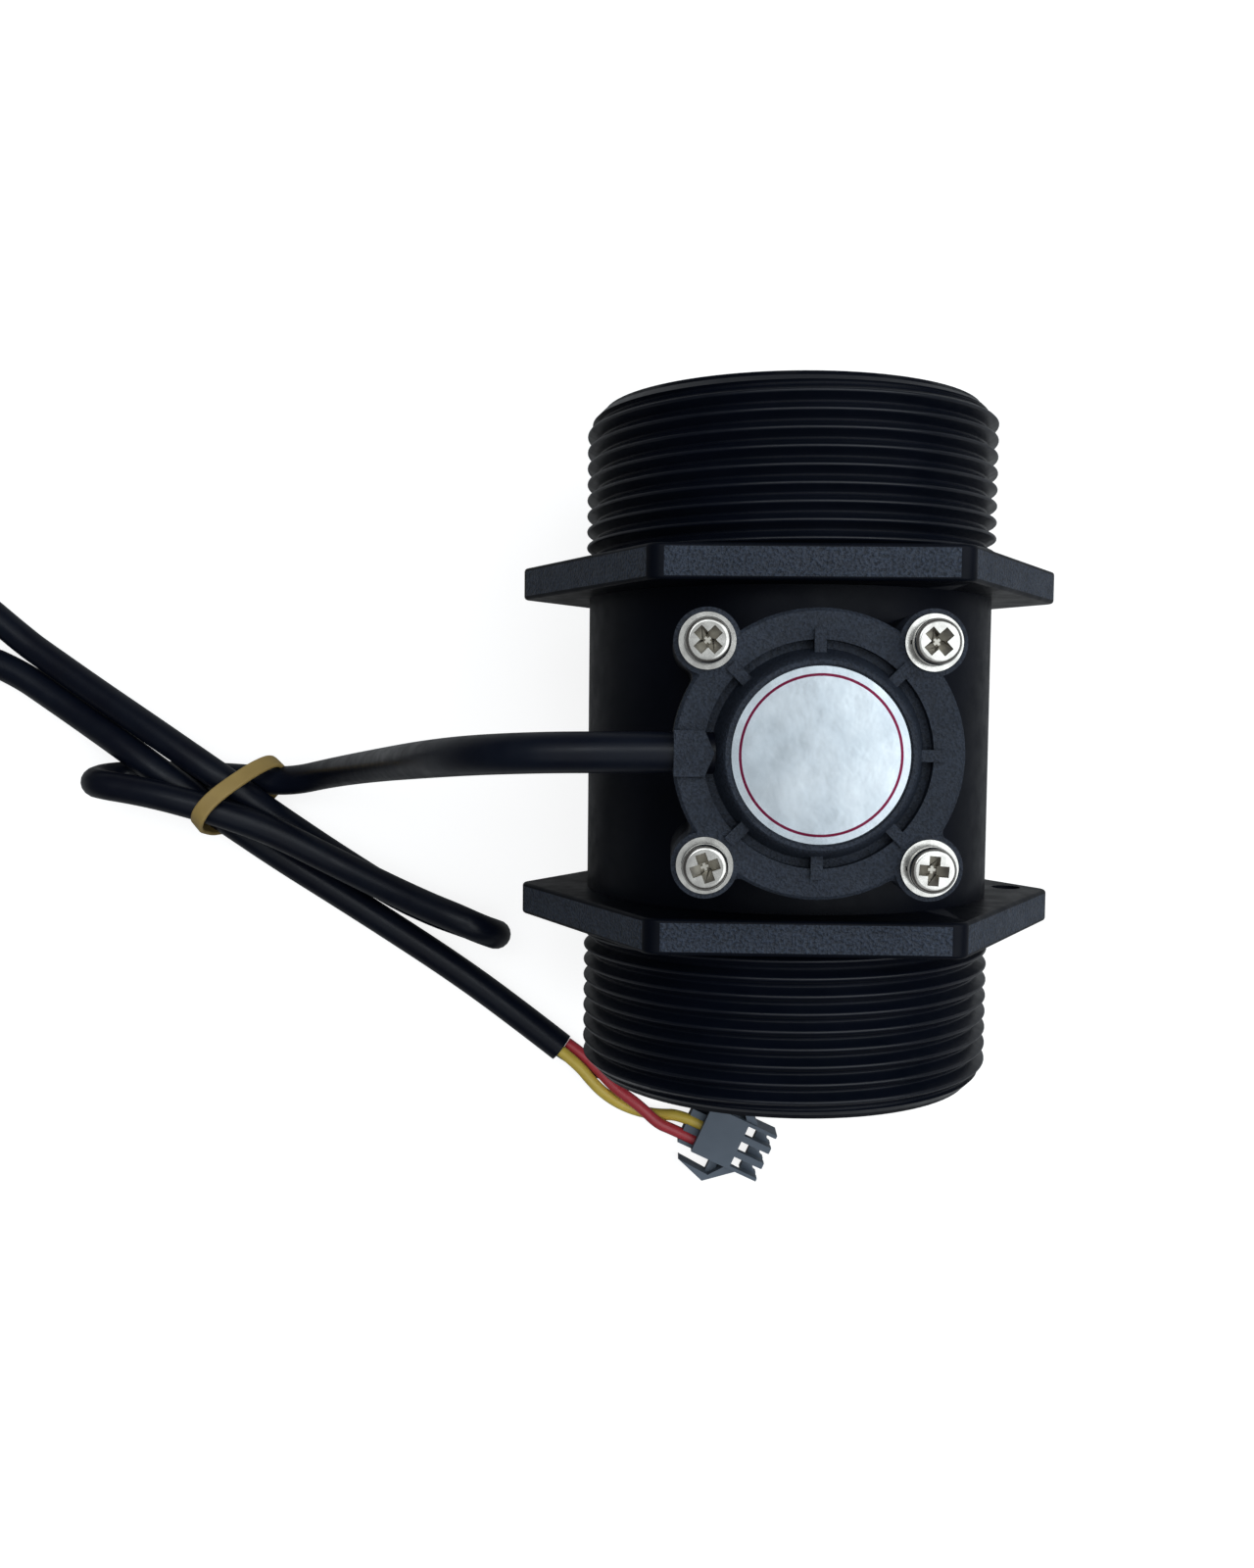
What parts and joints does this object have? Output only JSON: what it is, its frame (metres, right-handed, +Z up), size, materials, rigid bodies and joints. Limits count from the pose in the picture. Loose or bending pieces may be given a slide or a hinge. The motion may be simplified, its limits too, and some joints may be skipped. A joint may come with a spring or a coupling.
{
  "type": "water flow sensor",
  "caption": "Threaded plastic pipe body with hexagon wrench flanges, a paddle wheel under a bolted sensor cap, and a banded signal lead with a plug, for measuring water flow.",
  "frame": {"origin": "on the floor, midway between the two hexagon flanges and straight below the cap's axis", "axes": "+X to the right seen from above with the cable leaving to the left, +Y along the pipe, +Z up through the cap"},
  "size_m": [0.2233, 0.1257, 0.082],
  "materials": {
    "housing": "fine grain, leathery on the hexagon faces",
    "foil": "satin foil with a thin red ring",
    "nickel": "bright nickel plate",
    "seal": "matt",
    "cage": "satin",
    "wheel": "natural acetal, satin",
    "ferrite": "ground",
    "steel": "ground",
    "bush": "turned",
    "thrust": "waxy",
    "board": "solder mask",
    "chip": "moulded",
    "copper": "tinned ends",
    "resin": "cast",
    "jacket": "satin",
    "red": "satin",
    "yellow": "satin",
    "black": "satin",
    "band": "natural rubber",
    "plug": "satin",
    "contact": "tinned"
  },
  "bodies": {
    "housing": {"body": "housing", "cap": "housing", "label": "foil", "cover_screws": "nickel", "flat_washers": "nickel", "spring_washers": "nickel", "cap_o_ring": "seal", "rotor_cage": "cage", "rotor_shaft": "steel", "lower_thrust_washer": "thrust", "upper_thrust_washer": "thrust", "hall_board": "board", "hall_sensor": "chip", "board_components": "chip", "board_leads": "copper", "potting": "resin", "cable": "jacket", "red_wire": "red", "yellow_wire": "yellow", "black_wire": "black", "rubber_band": "band", "connector_housing": "plug", "connector_contacts": "contact"},
    "rotor": {"impeller": "wheel", "rotor_magnets": "ferrite", "lower_bush": "bush", "upper_bush": "bush"}
  },
  "joints": [
    {"name": "impeller_spin", "type": "hinge", "parent": "housing", "child": "rotor", "pos_m": [0, 0, 0.0566], "axis": [0, 0, 1], "continuous": true}
  ]
}
